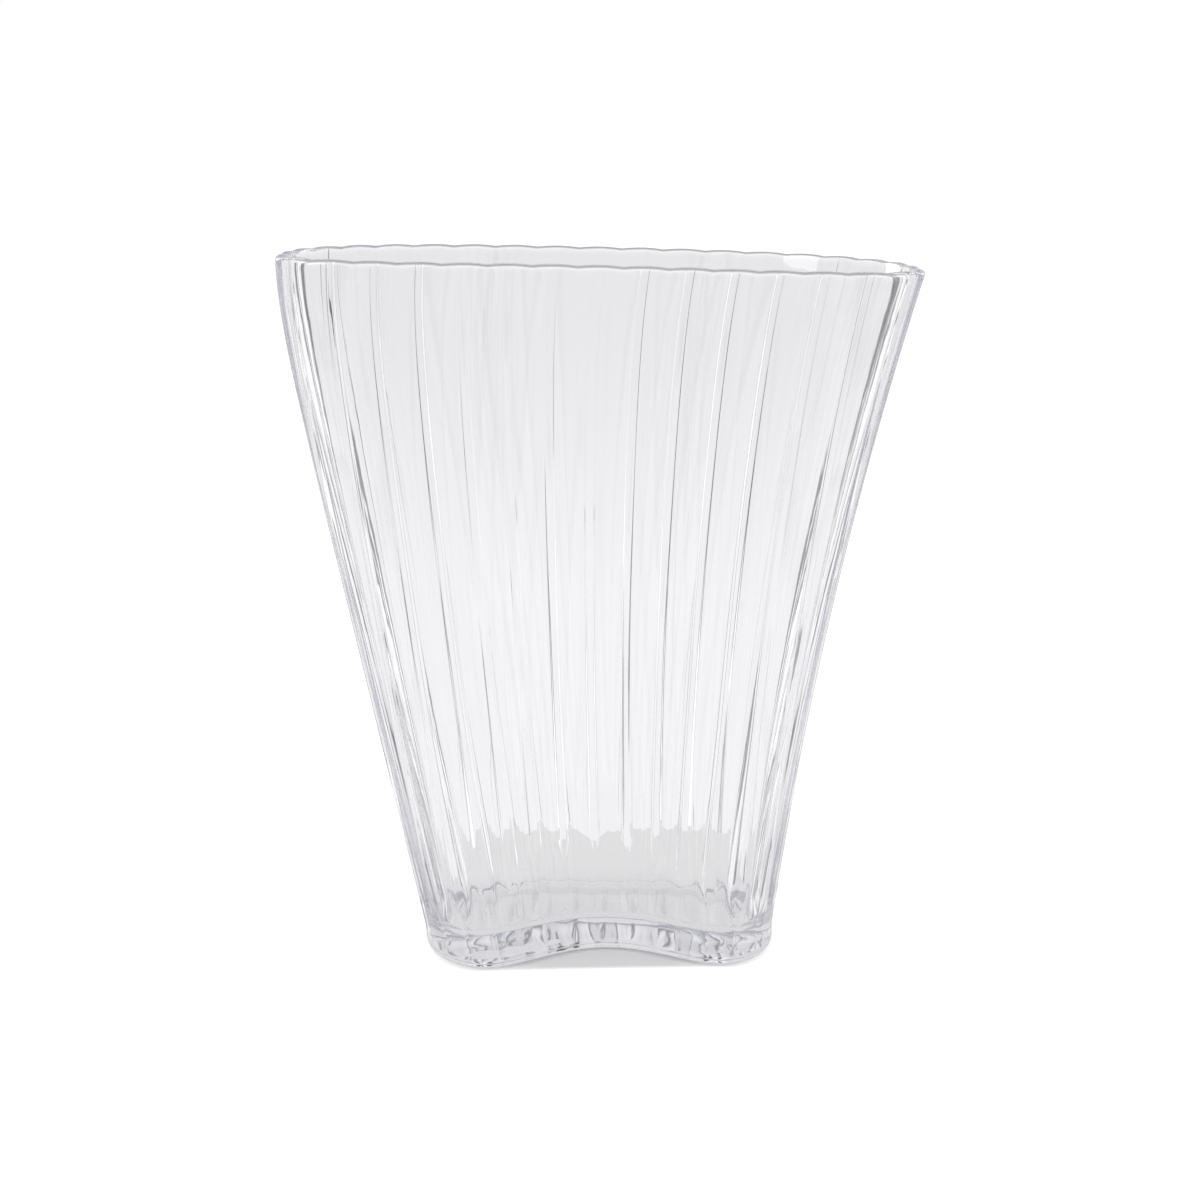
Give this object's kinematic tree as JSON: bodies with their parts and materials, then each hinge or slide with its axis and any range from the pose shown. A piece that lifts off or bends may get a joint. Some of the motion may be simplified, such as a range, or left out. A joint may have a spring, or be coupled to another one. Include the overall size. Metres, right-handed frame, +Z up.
{
  "type": "fan vase",
  "caption": "Clear fluted glass fan vase: a kidney-shaped vessel, hollowed down the front, that widens from a thick base to a broad open rim and holds cut flowers.",
  "frame": {"origin": "on the standing surface, under the middle of the vase's box", "axes": "+Z up from the standing surface, +X to the right across the fan, +Y to the back; the hollow front faces -Y"},
  "size_m": [0.1793, 0.075, 0.2001],
  "materials": {
    "clear_glass": "clear colourless soda-lime glass, fire-polished, with a very faint cool tint in the thick base"
  },
  "bodies": {
    "root": {"base": "clear_glass", "fluted_wall": "clear_glass", "rim": "clear_glass"}
  },
  "joints": []
}
